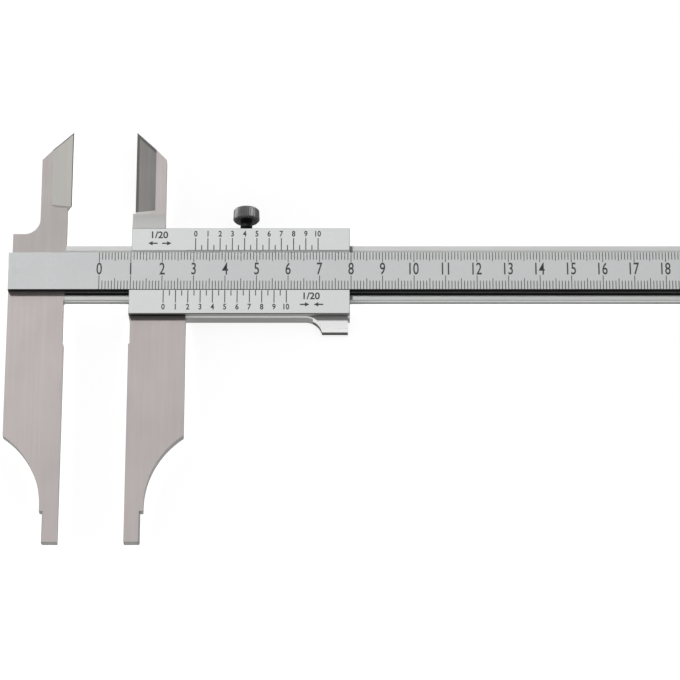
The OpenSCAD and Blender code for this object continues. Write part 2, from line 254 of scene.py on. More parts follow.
# %% [markdown]
# Three effects come back in several finishes, so each is a node group with named inputs and
# outputs. The first is grain: the fine parallel scratches that a belt, a stone or a brush leaves.
# It is a noise that is stretched along the working direction, so its scale has a value for each
# axis.

# %% Node group for grain
def socket(group, name, kind, way, default=None):
    """Adds one named input or output to a node group."""
    made = group.interface.new_socket(name=name, in_out=way, socket_type=kind)
    if default is not None:
        made.default_value = default


def new_group(name):
    """Empty shader node group with its input and output nodes."""
    group = bpy.data.node_groups.new(name, "ShaderNodeTree")
    return group, group.nodes.new("NodeGroupInput"), group.nodes.new("NodeGroupOutput")


grain_group, grain_in, grain_out = new_group("grain")
socket(grain_group, "Position", "NodeSocketVector", "INPUT")
socket(grain_group, "Scale", "NodeSocketVector", "INPUT", (1000, 1000, 1000))
socket(grain_group, "Streaks", "NodeSocketFloat", "OUTPUT")
socket(grain_group, "Fine", "NodeSocketFloat", "OUTPUT")
grain_stretch = grain_group.nodes.new("ShaderNodeVectorMath")
grain_stretch.operation = "MULTIPLY"
grain_group.links.new(grain_in.outputs["Position"], grain_stretch.inputs[0])
grain_group.links.new(grain_in.outputs["Scale"], grain_stretch.inputs[1])
for output, detail, size in (("Streaks", 5.0, 0.35), ("Fine", 2.0, 1.6)):
    noise = grain_group.nodes.new("ShaderNodeTexNoise")
    noise.inputs["Scale"].default_value = size
    noise.inputs["Detail"].default_value = detail
    noise.inputs["Roughness"].default_value = 0.62
    grain_group.links.new(grain_stretch.outputs[0], noise.inputs["Vector"])
    grain_group.links.new(noise.outputs["Fac"], grain_out.inputs[output])
print("node group", grain_group.name)

# %% [markdown]
# The second effect is handling: faint cloudy marks a few millimetres across, where fingers and
# cloths have been. It is a soft noise, and a narrow range makes its clouds stand out.

# %% Node group for handling marks
MARK_SIZE = 60.0

marks_group, marks_in, marks_out = new_group("handling_marks")
socket(marks_group, "Position", "NodeSocketVector", "INPUT")
socket(marks_group, "Size", "NodeSocketFloat", "INPUT", MARK_SIZE)
socket(marks_group, "Mask", "NodeSocketFloat", "OUTPUT")
cloud = marks_group.nodes.new("ShaderNodeTexNoise")
cloud.inputs["Detail"].default_value = 3.0
cloud.inputs["Roughness"].default_value = 0.5
cloud_range = marks_group.nodes.new("ShaderNodeMapRange")
cloud_range.inputs["From Min"].default_value = 0.35
cloud_range.inputs["From Max"].default_value = 0.65
marks_group.links.new(marks_in.outputs["Position"], cloud.inputs["Vector"])
marks_group.links.new(marks_in.outputs["Size"], cloud.inputs["Scale"])
marks_group.links.new(cloud.outputs["Fac"], cloud_range.inputs["Value"])
marks_group.links.new(cloud_range.outputs[0], marks_out.inputs["Mask"])
print("node group", marks_group.name)

# %% [markdown]
# The third effect is edge wear. Where two ground faces meet, handling rounds and polishes the
# corner first. A Bevel node gives the normal of a slightly rounded corner, and where it turns
# away from the face's own normal, the mask is white.

# %% Node group for worn edges
wear_group, wear_in, wear_out = new_group("worn_edges")
socket(wear_group, "Radius", "NodeSocketFloat", "INPUT", 0.25 * MM)
socket(wear_group, "Mask", "NodeSocketFloat", "OUTPUT")
round_normal = wear_group.nodes.new("ShaderNodeBevel")
round_normal.samples = 4
own_normal = wear_group.nodes.new("ShaderNodeNewGeometry")
likeness = wear_group.nodes.new("ShaderNodeVectorMath")
likeness.operation = "DOT_PRODUCT"
wear_range = wear_group.nodes.new("ShaderNodeMapRange")
wear_range.inputs["From Min"].default_value = 0.995
wear_range.inputs["From Max"].default_value = 0.90
wear_group.links.new(wear_in.outputs["Radius"], round_normal.inputs["Radius"])
wear_group.links.new(round_normal.outputs["Normal"], likeness.inputs[0])
wear_group.links.new(own_normal.outputs["Normal"], likeness.inputs[1])
wear_group.links.new(likeness.outputs["Value"], wear_range.inputs["Value"])
wear_group.links.new(wear_range.outputs[0], wear_out.inputs["Mask"])
print("node group", wear_group.name)

# %% [markdown]
# One recipe serves every worked metal here. The grain moves the colour, the roughness and a
# shallow bump, the handling marks move the roughness, and worn edges are lighter and smoother.
# Each finish gives it another colour, another working direction and another depth. First come
# three helpers: one places a node group, one scales a value and shifts it, and one mixes two
# colours.

# %% Helpers for the recipe
def place_group(tree, group, **values):
    """Puts a node group in a material and sets its inputs."""
    node = tree.nodes.new("ShaderNodeGroup")
    node.node_tree = group
    for name, value in values.items():
        node.inputs[name].default_value = value
    return node


def multiply_add(tree, value, factor, offset):
    """Math node that scales a value by a number and adds a number or another value."""
    node = tree.nodes.new("ShaderNodeMath")
    node.operation = "MULTIPLY_ADD"
    tree.links.new(value, node.inputs[0])
    node.inputs[1].default_value = factor
    if isinstance(offset, (int, float)):
        node.inputs[2].default_value = offset
    else:
        tree.links.new(offset, node.inputs[2])
    return node.outputs[0]


def mix_colours(tree, amount, first, second):
    """Mix node between two colours; the first may also be an output of another node."""
    node = tree.nodes.new("ShaderNodeMix")
    node.data_type = "RGBA"
    tree.links.new(amount, node.inputs["Factor"])
    if isinstance(first, tuple):
        node.inputs["A"].default_value = (*first, 1)
    else:
        tree.links.new(first, node.inputs["A"])
    node.inputs["B"].default_value = (*second, 1)
    return node.outputs["Result"]


print("helpers for", ", ".join(group.name for group in bpy.data.node_groups))

# %% [markdown]
# The recipe itself. Tone says how far the grain moves the colour, spread how far it moves the
# roughness, and depth how deep its scratches are in millimetres. Wear says how much the corners
# show, and radius how far from the corner in millimetres.

# %% Recipe for a worked metal
EDGE_LIGHTER = 1.18
EDGE_SMOOTHER = 0.12
MARKS_SHARE = 0.4


def worked_metal(name, colour, roughness, scale, tone=0.08, spread=0.10, depth=0.006, wear=0.5,
                 metallic=1.0, edge_colour=None, radius=0.25, gloss=0.5):
    """Metal with grain along the axis that has the smallest scale."""
    made, shader = plain_material(name, colour, roughness)
    tree = made.node_tree
    place = tree.nodes.new("ShaderNodeTexCoord")
    shader.inputs["Metallic"].default_value = metallic
    shader.inputs["Specular IOR Level"].default_value = gloss

    grain = place_group(tree, grain_group, Scale=scale)
    marks = place_group(tree, marks_group, Size=MARK_SIZE)
    worn = place_group(tree, wear_group, Radius=radius * MM)
    tree.links.new(place.outputs["Object"], grain.inputs["Position"])
    tree.links.new(place.outputs["Object"], marks.inputs["Position"])

    dark = tuple(part * (1 - tone) for part in colour)
    light = tuple(min(part * (1 + tone), 1.0) for part in colour)
    edge = edge_colour or tuple(min(part * EDGE_LIGHTER, 1.0) for part in colour)
    streaked = mix_colours(tree, grain.outputs["Streaks"], dark, light)
    edge_amount = multiply_add(tree, worn.outputs["Mask"], wear, 0.0)
    finished = mix_colours(tree, edge_amount, streaked, edge)
    tree.links.new(finished, shader.inputs["Base Color"])

    rough = multiply_add(tree, grain.outputs["Fine"], spread, roughness - spread / 2)
    rough = multiply_add(tree, marks.outputs["Mask"], spread * MARKS_SHARE, rough)
    rough = multiply_add(tree, worn.outputs["Mask"], -EDGE_SMOOTHER * wear, rough)
    tree.links.new(rough, shader.inputs["Roughness"])

    bump = tree.nodes.new("ShaderNodeBump")
    bump.inputs["Strength"].default_value = 1.0
    bump.inputs["Distance"].default_value = depth * MM
    tree.links.new(grain.outputs["Fine"], bump.inputs["Height"])
    tree.links.new(bump.outputs["Normal"], shader.inputs["Normal"])
    return made


print("recipe with worn edges", EDGE_LIGHTER, "times as bright")

# %% [markdown]
# The finishes of the beam and the plates. The scale faces are satin, with hardly a direction, so
# that they do not dazzle. The rails and the sides are ground along the beam. The side finish is
# the same steel made much darker, as painted shade on faces that turn away from the light. A
# near-black finish is painted shadow below the rib and under edges, and a near-white one is a
# painted highlight on the thumb rest and on a slope of the upper plate.

# %% Finishes of the beam, the sides and the scale faces
ALONG_X = (60.0, 2600.0, 2600.0)
ALONG_Y = (2600.0, 45.0, 2600.0)
ROUND_Y = (900.0, 3200.0, 900.0)
NO_GRAIN = (2200.0, 2600.0, 2200.0)

satin_face = worked_metal("satin_face", (0.735, 0.757, 0.752), 0.64, NO_GRAIN,
                          tone=0.04, metallic=0.35)
satin_plate = worked_metal("satin_plate", (0.865, 0.88, 0.875), 0.62, NO_GRAIN,
                           tone=0.04, metallic=0.3)
# Matt steel; on the beam it also darkens the rail strip above the rib, as painted shade.
matt_steel = worked_metal("ramp_steel", (0.59, 0.59, 0.58), 0.72, NO_GRAIN,
                          tone=0.05, metallic=0.3)
rail_steel = worked_metal("rail_steel", (0.72, 0.73, 0.72), 0.60, ALONG_X,
                          tone=0.10, depth=0.008, metallic=0.6)
# Painted shade: a much darker copy of the ground steel, for faces that turn away from the light.
painted_shade_side = worked_metal("painted_shade_side", (0.28, 0.28, 0.275), 0.52, ALONG_X,
                          tone=0.12, depth=0.010)
# Painted shadow: a near-black finish where the rib, the plates and the thumb rest cast shadow.
painted_shadow_steel = worked_metal("painted_shadow_finish", (0.06, 0.06, 0.06), 0.5, ALONG_X,
                          tone=0.15, depth=0.010, wear=0.2)
# Painted highlight: a near-white finish for the lit thumb rest and a shaded slope of the upper
# plate.
painted_highlight_steel = worked_metal("painted_highlight_steel", (0.98, 0.98, 0.97), 0.55, ALONG_X,
                           tone=0.06, depth=0.008, metallic=0.6)
print(len(bpy.data.materials), "materials so far")

# %% [markdown]
# The finishes of the jaws. They are ground along their length, which leaves faint streaks from
# the beam to the tips, and their steel is a little warmer. The knife bevels are stoned matt. A
# bright bevel would be a mirror, and from some sides it would show the key light as a white
# patch. The two bevels share that finish, but the fixed one is pale and the moving one dark: a
# painted reflection of bright surroundings on one side and of dark ones on the other. The moving
# bevel has a honed strip along its edge that is darker still.

# %% Finishes of the jaws
jaw_steel = worked_metal("jaw_steel", (0.555, 0.513, 0.500), 0.60, ALONG_Y,
                         tone=0.07, depth=0.012, metallic=0.9)
blade_steel = worked_metal("blade_steel", (0.478, 0.446, 0.434), 0.60, ALONG_Y,
                           tone=0.07, depth=0.012, metallic=0.9)
# Painted reflection: the pale fixed bevel and the dark moving bevel are one stoned steel.
pale_bevel = worked_metal("bevel_steel", (0.823, 0.806, 0.755), 0.60, ALONG_Y,
                          tone=0.10, depth=0.008, metallic=0.9, wear=0.0)
dark_bevel = worked_metal("bevel_dark_reflection", (0.210, 0.203, 0.196), 0.60, ALONG_Y,
                          tone=0.30, depth=0.008, metallic=0.9, wear=0.0)
honed_steel = worked_metal("honed_steel", (0.12, 0.12, 0.115), 0.60, ALONG_Y,
                           tone=0.15, depth=0.008, metallic=0.9, wear=0.0)
print(len(bpy.data.materials), "materials so far")

# %% [markdown]
# The finishes of the small pieces and of the scale lines. The lock screw's shank is blackened.
# Its head is dark grey steel, and fingers have rubbed the crests of its knurl lighter. Its end
# faces and chamfers get the black finish as painted shade. The gib and the pad are brass, which
# slides on steel without marking it. Scale lines are filled with a black that has hardly any
# shine.

# %% Finishes of the small pieces and the lines
screw_steel = worked_metal("screw_steel", (0.62, 0.62, 0.61), 0.28, ROUND_Y, depth=0.004)
black_steel = worked_metal("black_steel", (0.020, 0.020, 0.022), 0.50, ROUND_Y, tone=0.3,
                           edge_colour=(0.09, 0.09, 0.088), wear=0.6, radius=0.12,
                           metallic=0.0, gloss=0.15)
knurl_steel = worked_metal("knurl_steel", (0.25, 0.25, 0.25), 0.52, ROUND_Y, tone=0.3,
                           edge_colour=(0.44, 0.44, 0.43), wear=0.7, radius=0.12, metallic=0.8)
brass = worked_metal("brass", (0.72, 0.52, 0.25), 0.34, ALONG_X, tone=0.10)
scale_black = worked_metal("scale_black", (0.048, 0.049, 0.052), 0.55, NO_GRAIN,
                           tone=0.3, depth=0.002, metallic=0.0, wear=0.0)
print(len(bpy.data.materials), "materials")

# %% [markdown]
# Every piece that is made here is parented to an empty named after one of the tool's bodies.
# Smooth shading suits the round faces, but it would smear light over flat ones. So an edge
# stays sharp where its faces meet at a clear angle and where two finishes meet, and a Weighted
# Normal modifier lets the large flat faces keep their own normal.

# %% Place a piece and shade it
SOFT_ANGLE = math.radians(32)


def add_piece(name, mesh, body):
    """Places a mesh in the scene as a piece that rides on a body."""
    piece = bpy.data.objects.new(name, mesh)
    bpy.context.collection.objects.link(piece)
    tool_only.objects.link(piece)
    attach(piece, body)
    return piece


def soft_shading(piece, angle=SOFT_ANGLE):
    """Smooth shading over round faces, with flat faces and borders between finishes kept sharp."""
    finishes_at = {}
    for polygon in piece.data.polygons:
        polygon.use_smooth = True
        for ends in polygon.edge_keys:
            finishes_at.setdefault(ends, set()).add(polygon.material_index)
    piece.data.set_sharp_from_angle(angle=angle)
    for edge in piece.data.edges:
        if len(finishes_at[edge.key]) > 1:
            edge.use_edge_sharp = True
    weighted = piece.modifiers.new("flat_faces", "WEIGHTED_NORMAL")
    weighted.keep_sharp = True
    weighted.weight = 90


print("edges over", round(math.degrees(SOFT_ANGLE)), "degrees stay sharp")

# %% [markdown]
# A CAD solid has perfectly sharp corners, and no real one does: a ground part is stoned or
# tumbled, and the narrow rounded corner catches the light as a fine bright line. A Bevel modifier
# would round all corners alike. Here each large steel piece is a copy of its solid, and bmesh
# rounds only the corners that a rule picks, by one to three tenths of a millimetre. The copy
# takes the solid's place. A second rule gives every face a part to play, such as side or bevel,
# from where it lies and which way it looks, and a dictionary says which finish each part has.

# %% Copy a solid, round its corners and give every face a finish
MERGE_DISTANCE = 0.003 * MM
CUT_DISTANCE = 0.001 * MM
FLAT_ANGLE = math.radians(1)
CORNER_ANGLE = math.radians(28)


def rounded_copy(node, body, finishes, pick, wanted, rounding=0.09, splits=()):
    """Copy of a CAD node with rounded corners. Wanted says which corners, and pick which of the
    finishes a face gets. Each split is a plane (point, normal) that cuts faces in two, so that both
    parts can have finishes of their own."""
    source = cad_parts[node]
    shape = bmesh.new()
    shape.from_mesh(source.data)
    shape.transform(source.matrix_world)
    bmesh.ops.remove_doubles(shape, verts=shape.verts, dist=MERGE_DISTANCE)
    bmesh.ops.dissolve_limit(shape, angle_limit=FLAT_ANGLE, verts=shape.verts, edges=shape.edges)
    corners = [
        edge for edge in shape.edges
        if edge.is_manifold and edge.is_convex and edge.calc_face_angle(0) > CORNER_ANGLE
        and wanted(edge)
    ]
    bmesh.ops.bevel(
        shape, geom=corners, offset=rounding * MM, offset_type="OFFSET", segments=2,
        profile=0.5, affect="EDGES", clamp_overlap=True
    )
    for point, normal in splits:
        everything = [*shape.verts, *shape.edges, *shape.faces]
        bmesh.ops.bisect_plane(
            shape, geom=everything, dist=CUT_DISTANCE, plane_co=point * MM, plane_no=normal
        )
    parts = list(finishes)
    for face in shape.faces:
        face.normal_update()
        part = pick(face.calc_center_median() / MM, face.normal)
        face.material_index = parts.index(part)
    mesh = bpy.data.meshes.new(node + "_finished")
    shape.to_mesh(mesh)
    shape.free()
    for finish in finishes.values():
        mesh.materials.append(finish)
    piece = add_piece(node + "_finished", mesh, body)
    soft_shading(piece)
    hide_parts(node)
    print(piece.name, len(mesh.polygons), "faces,", len(corners), "corners rounded")


print("corners over", round(math.degrees(CORNER_ANGLE)), "degrees can be rounded")

# %% [markdown]
# The beam is one milled bar: a raised rib with the scale on it, and a rail on either side for the
# slider. A strip of each rail beside the rib is painted darker: near-black below the rib as
# painted shadow, and a darker grey above it as painted shade. The lower side of the beam is
# painted darker towards the back, as shade on a face turned from the light. Only the long
# corners are rounded, because a hand never feels the others.

# %% Beam
RIB_LOW = 3.15
RIB_TOP = BEAM_HIGH.y - RIB_LOW
# The rail strips between these lines and the rib, and the lower side below EDGE_LINE, are painted
# shade.
SHADED_LINE = RIB_LOW - 1.35
UPPER_SHADE_LINE = RIB_TOP + 1.45
EDGE_LINE = 0.6
RAIL_Z = 1.5
FACE_DEPTH = 0.15
CORNER_REACH = 0.1
LONG_CORNER = 5
BEAM_ROUNDING = 0.08
FACING = 0.7


def beam_finish(place, normal):
    """Part that a face of the beam plays, from its place and its normal."""
    if normal.z > FACING and place.z > FACE_Z - FACE_DEPTH:
        return "scale"
    # Painted shadow on the rail below the rib, painted shade above it.
    if place.z > RAIL_Z and place.x > CORNER_REACH:
        if SHADED_LINE < place.y < RIB_LOW + CORNER_REACH:
            return "below rib"
        if RIB_TOP - CORNER_REACH < place.y < UPPER_SHADE_LINE:
            return "above rib"
    return "lower edge" if normal.y < -FACING and place.z < EDGE_LINE else "rail"


def long_corner(edge):
    """True for the corners that run along the beam or across its ends."""
    return edge.calc_length() > LONG_CORNER * MM


beam_finishes = {
    "scale": satin_face, "rail": rail_steel, "below rib": painted_shadow_steel, "lower edge": painted_shade_side,
    "above rib": matt_steel,
}
rounded_copy("beam", "beam_assembly", beam_finishes, beam_finish, long_corner,
             rounding=BEAM_ROUNDING, splits=[(ACROSS * SHADED_LINE, ACROSS),
                                             (ACROSS * UPPER_SHADE_LINE, ACROSS),
                                             (UPWARDS * EDGE_LINE, UPWARDS)])

# %% [markdown]
# A knife blade is ground to a thin edge on both faces. The last strokes hone a narrow strip along
# the edge and along the slanted top, and that strip is darker than the bevel behind it. It could
# be another solid, but it is only another surface, so two planes cut it off the bevel. At the
# foot, the grinding wheel ran out and left a matt slope.

# %% The parts of a jaw's surface
JAW_FACE_Z = 1.75
KNIFE_FOOT = 29.9
KNIFE_LINE = 1.3
BLADE_WIDTH = 9.8
SLANT_DROP = 10.3
KNIFE_TIP = CAD_HIGH.y / MM
BEAM_MIDDLE = BEAM_HIGH.y / 2
FLAT = 0.99
BEVEL_FLAT = 0.95
LEAN = 0.03
SLOPE_SIDEWAYS = 0.26
SLOPE_FORWARD = 0.2


def knife_strip(edge_x, outward, width):
    """Points and normals of the two lines that border the honed strip of a blade."""
    slant = Vector((SLANT_DROP * outward, BLADE_WIDTH, 0)).normalized()
    return [
        (Vector((edge_x + width * outward, 0, 0)), ALONG * outward),
        (Vector((edge_x, KNIFE_TIP, 0)) - slant * width, -slant),
    ]


def jaw_finish(place, normal, strip):
    """Part that a face of a jaw plays; strip borders the honed strip of that jaw's blade."""
    on_blade = place.y > KNIFE_FOOT
    in_slope = abs(normal.x) < SLOPE_SIDEWAYS and abs(normal.z) > SLOPE_FORWARD
    if abs(normal.z) > FLAT:
        return "blade" if place.y > BEAM_MIDDLE else "flat"
    if on_blade and in_slope and normal.y > LEAN:
        return "slope"
    if on_blade and abs(normal.y) < LEAN and abs(normal.z) > BEVEL_FLAT:
        in_bevel = all((place - point).dot(inward) > 0 for point, inward in strip)
        return "bevel" if in_bevel else "honed"
    return "side"


print("knife points at y", round(KNIFE_TIP, 2), "mm, blades", BLADE_WIDTH, "mm wide")

# %% [markdown]
# The fixed jaw. Its outer corners are rounded, those between the flat front and back faces and
# the sides. The knife's own edge stays as sharp as the solid has it, because it is there to
# measure.

# %% Fixed jaw
JAW_ROUNDING = 0.3
SHORT_CORNER = 0.5
FIXED_HONING = 0.3


def level(value, wanted, slack=0.02):
    """True if a height is at a wanted level."""
    return abs(value - wanted) < slack


def outer_corner(edge):
    """True for the corners that have both ends on the flat front and back faces."""
    heights = [vertex.co.z / MM for vertex in edge.verts]
    return edge.calc_length() > SHORT_CORNER * MM and all(
        level(abs(height), JAW_FACE_Z) or level(height, FLOOR_Z / MM) or level(height, FACE_Z)
        for height in heights
    )


fixed_strip = knife_strip(KNIFE_LINE, -1, FIXED_HONING)
fixed_finishes = {
    "flat": jaw_steel, "side": painted_shade_side, "bevel": pale_bevel, "honed": painted_shade_side,
    "blade": blade_steel, "slope": blade_steel,
}
rounded_copy("fixed_jaw", "beam_assembly", fixed_finishes,
             lambda place, normal: jaw_finish(place, normal, fixed_strip), outer_corner,
             rounding=JAW_ROUNDING, splits=[*fixed_strip, (ACROSS * BEAM_MIDDLE, ACROSS)])

# %% [markdown]
# The slider body is milled from one block with its jaw, so one copy has both. Its thumb rest has
# a painted highlight on its front and painted shadow on its back. The wall under the lower plate
# has the bright rail finish down to a line as painted light, and the darker side finish below
# it. The slope between the blade and the upper plate is matt.

# %% Slider body
MOVING_HONING = 0.9
LEG_WIDTH = 18
JAW_GAP = 1
WALL_LIGHT_LINE = 0.55
SEAM_REACH = 0.05
THUMB_EDGE = -1.6
THUMB_DROP = 0.4
THUMB_FLAT = 0.9
SLOPE_REACH = 0.5
ABOVE_FLAT = 0.01

moving_strip = knife_strip(SLIDER_X + KNIFE_LINE, 1, MOVING_HONING)


def slider_finish(place, normal):
    """Part that a face of the slider plays: as on the fixed jaw, and more beside the jaw."""
    past_jaw = place.x > SLIDER_X + LEG_WIDTH + JAW_GAP
    beside_jaw = past_jaw and place.y < LOWER_LOW.y + SEAM_REACH
    # Painted highlight on the thumb rest's front, painted shadow on its back.
    if beside_jaw and normal.z > THUMB_FLAT:
        return "thumb rest"
    if beside_jaw and abs(normal.z) < FACING and place.y < LOWER_LOW.y - THUMB_DROP:
        return "thumb rest" if place.z > THUMB_EDGE else "thumb back"
    # Painted light: the wall above this line gets the bright rail finish, the darker side finish
    # below.
    if beside_jaw and normal.y < -FACING and place.z > WALL_LIGHT_LINE:
        return "wall"
    beside_plate = UPPER_HIGH.y - SLOPE_REACH < place.y < KNIFE_FOOT
    if beside_plate and normal.z > FACING and place.z > JAW_FACE_Z + ABOVE_FLAT:
        return "slope"
    return jaw_finish(place, normal, moving_strip)


slider_finishes = {
    "flat": jaw_steel, "side": painted_shade_side, "bevel": dark_bevel, "honed": honed_steel,
    "blade": jaw_steel, "slope": matt_steel, "thumb rest": painted_highlight_steel, "wall": rail_steel,
    "thumb back": painted_shadow_steel,
}
rounded_copy("slider_body", "slider", slider_finishes, slider_finish, outer_corner,
             rounding=JAW_ROUNDING, splits=[*moving_strip, (ACROSS * LOWER_LOW.y, ACROSS),
                                            (UPWARDS * WALL_LIGHT_LINE, UPWARDS),
                                            (UPWARDS * THUMB_EDGE, UPWARDS)])

# %% [markdown]
# The two vernier plates lie flush with the rib, so that their lines meet the main scale without a
# step. They are a little paler than the beam, as a freshly ground plate is. The slope of the
# upper one that faces the beam gets the near-white finish as painted light. The lower plate
# stands proud of the jaw, and its edge there gets the near-black finish as painted shadow; a
# plane splits it at the jaw's side. The small end stop behind the beam is ground like the other
# sides and has their painted shade.

# %% Scale plates and end stop
PLATE_ROUNDING = 0.14
PLATE_FLAT = 0.97
SLOPE_UP = 0.5
SLOPE_DOWN = -0.3


def plate_finish(place, normal):
    """Part that a face of a scale plate plays."""
    if normal.z > PLATE_FLAT:
        return "scale"
    if normal.z > SLOPE_UP and normal.y < SLOPE_DOWN and place.y > BEAM_MIDDLE:
        return "slope"
    over_jaw = place.x < SLIDER_X + LEG_WIDTH and place.y < LOWER_LOW.y + SEAM_REACH
    return "over jaw" if over_jaw else "side"


plate_finishes = {
    "scale": satin_plate, "side": painted_shade_side, "slope": painted_highlight_steel, "over jaw": painted_shadow_steel,
}
for node in ("upper_scale_plate", "lower_scale_plate"):
    rounded_copy(node, "slider", plate_finishes, plate_finish, long_corner,
                 rounding=PLATE_ROUNDING, splits=[(ALONG * (SLIDER_X + LEG_WIDTH), ALONG)])
rounded_copy("end_stop", "beam_assembly", {"side": painted_shade_side}, lambda *_: "side",
             long_corner)

# %% [markdown]
# The scale lines are cut into the steel and filled with black. An image of the scale would blur
# in a close view, and real cuts would break the faces of the solids into thousands of small ones.
# Here each line is a thin black inlay that stands a hundredth of a millimetre proud, so it stays
# sharp from any side. One helper makes a set of lines or signs from their outlines, and every set
# is one piece.

# %% Helpers for scale lines
INLAY_PROUD = 0.01
INLAY_DEEP = 0.05
LINE_WIDTH = 0.23


def bar(x, low, high, width):
    """Outline of one upright line, as corners (x, y) that run anticlockwise."""
    left, right = x - width / 2, x + width / 2
    return [(left, low), (right, low), (right, high), (left, high)]


def inlay(name, body, outlines):
    """Flat black shapes with these outlines, let into the scale face and joined in one piece."""
    shape = bmesh.new()
    for outline in outlines:
        low, high = (
            [shape.verts.new(Vector((x, y, FACE_Z + height)) * MM) for x, y in outline]
            for height in (-INLAY_DEEP, INLAY_PROUD)
        )
        shape.faces.new(low[::-1])
        shape.faces.new(high)
        for index in range(len(outline)):
            shape.faces.new((low[index - 1], low[index], high[index], high[index - 1]))
    mesh = bpy.data.meshes.new(name)
    shape.to_mesh(mesh)
    shape.free()
    mesh.materials.append(scale_black)
    piece = add_piece(name, mesh, body)
    print(piece.name, len(outlines), "shapes")


print("lines", LINE_WIDTH, "mm wide stand", INLAY_PROUD, "mm proud")

# %% [markdown]
# The main scale counts millimetres from the zero line on the rib, along both of its edges. Every
# fifth line is longer and every tenth the longest, so the eye can count without reading, and the
# centimetre figures stand between the two rows.

# %% Main scale
ZERO_X = 10.9
SCALE_LENGTH = 290
LOW_LINES = (2.9, 3.7, 4.7)
TOP_LINES = (2.5, 2.9, 3.3)
RIM = 0.02


def rank(count):
    """0 for a millimetre line, 1 for every fifth and 2 for every tenth."""
    return (count % 5 == 0) + (count % 10 == 0)


low_bars = []
top_bars = []
for count in range(SCALE_LENGTH + 1):
    low_reach = LOW_LINES[rank(count)]
    top_reach = TOP_LINES[rank(count)]
    low_bars.append(bar(ZERO_X + count, RIB_LOW + RIM, RIB_LOW + low_reach, LINE_WIDTH))
    top_bars.append(bar(ZERO_X + count, RIB_TOP - top_reach, RIB_TOP - RIM, LINE_WIDTH))
inlay("main_scale_low", "beam_assembly", low_bars)
inlay("main_scale_top", "beam_assembly", top_bars)

# %% [markdown]
# Each vernier spans 39 millimetres in 20 divisions, so one division is 1.95 mm and the reading
# goes down to 0.05 mm. The upper vernier starts 10 mm further along than the lower one: that is
# the width of both nibs together, which an inside measurement has to add. The lines grow away
# from the rib, and every second one is longer.

# %% Vernier scales
VERNIER_COUNT = 20
VERNIER_STEP = 39 / VERNIER_COUNT
NIB_ALLOWANCE = 10.0
LOWER_ZERO = SLIDER_X + ZERO_X
UPPER_ZERO = LOWER_ZERO + NIB_ALLOWANCE
VERNIER_WIDTH = 0.3
LONG_REACH = 4.2
SHORT_REACH = 1.8
UPPER_ROOT = UPPER_LOW.y + 0.6
LOWER_ROOT = LOWER_HIGH.y - 0.25

for name, zero, root, way in (
    ("upper_vernier_lines", UPPER_ZERO, UPPER_ROOT, 1),
    ("lower_vernier_lines", LOWER_ZERO, LOWER_ROOT, -1),
):
    bars = []
    for count in range(VERNIER_COUNT + 1):
        end = root + way * (LONG_REACH if count % 2 == 0 else SHORT_REACH)
        x = zero + count * VERNIER_STEP
        bars.append(bar(x, min(root, end), max(root, end), VERNIER_WIDTH))
    inlay(name, "slider", bars)

# %% [markdown]
# The figures are plain numbers. Blender's own lettering is turned into a mesh, narrowed a little
# as scale figures are, and set into the face like the lines. Drawing each figure by hand would
# take more code and would hardly look better at this size.

# %% Helpers for figures
DIGIT_SHARE = 0.7


def figure(text, x, y, height, narrow, bold):
    """One number as a mesh, centred at (x, y) on the scale face. Height is that of a digit, narrow
    a share of its width, and bold the growth of its strokes as a share of its height."""
    data = bpy.data.curves.new("figure", "FONT")
    data.body = text
    data.align_x = "CENTER"
    data.align_y = "CENTER"
    data.resolution_u = 4
    data.extrude = (INLAY_PROUD + INLAY_DEEP) / 2 * MM
    data.offset = bold * height * MM
    data.size = height / DIGIT_SHARE * MM
    thing = bpy.data.objects.new("figure", data)
    bpy.context.collection.objects.link(thing)
    bpy.context.view_layer.update()
    shown = thing.evaluated_get(bpy.context.evaluated_depsgraph_get())
    mesh = bpy.data.meshes.new_from_object(shown)
    bpy.data.objects.remove(thing)
    xs = [vertex.co.x for vertex in mesh.vertices]
    ys = [vertex.co.y for vertex in mesh.vertices]
    middle = Vector(((min(xs) + max(xs)) / 2, (min(ys) + max(ys)) / 2, 0))
    fit = Matrix.Diagonal((narrow, height * MM / (max(ys) - min(ys)), 1, 1))
    place = Vector((x, y, FACE_Z + (INLAY_PROUD - INLAY_DEEP) / 2)) * MM
    mesh.transform(Matrix.Translation(place) @ fit @ Matrix.Translation(-middle))
    return mesh


def figure_row(name, body, figures, narrow=0.65, bold=0.012):
    """Several figures (text, x, y, height) joined in one piece."""
    shape = bmesh.new()
    for text, x, y, height in figures:
        mesh = figure(text, x, y, height, narrow, bold)
        shape.from_mesh(mesh)
        bpy.data.meshes.remove(mesh)
    mesh = bpy.data.meshes.new(name)
    shape.to_mesh(mesh)
    shape.free()
    mesh.materials.clear()
    mesh.materials.append(scale_black)
    piece = add_piece(name, mesh, body)
    print(piece.name, len(figures), "figures,", len(mesh.polygons), "faces")


print("digits are", DIGIT_SHARE, "times as high as the letter size")

# %% [markdown]
# The main scale is numbered in centimetres, with tall narrow figures that fit between its two
# rows. The verniers are numbered at every second line, in tenths of a millimetre. Their figures
# are small, so they are wider and bolder for their height, as on the real plates.

# %% Figures
MAIN_FIGURE = 4.1
VERNIER_FIGURE = 2.0
MAIN_LINE = (RIB_LOW + RIB_TOP) / 2 + 0.75
UPPER_LINE = UPPER_LOW.y + 6.3
LOWER_LINE = LOWER_HIGH.y - 5.85

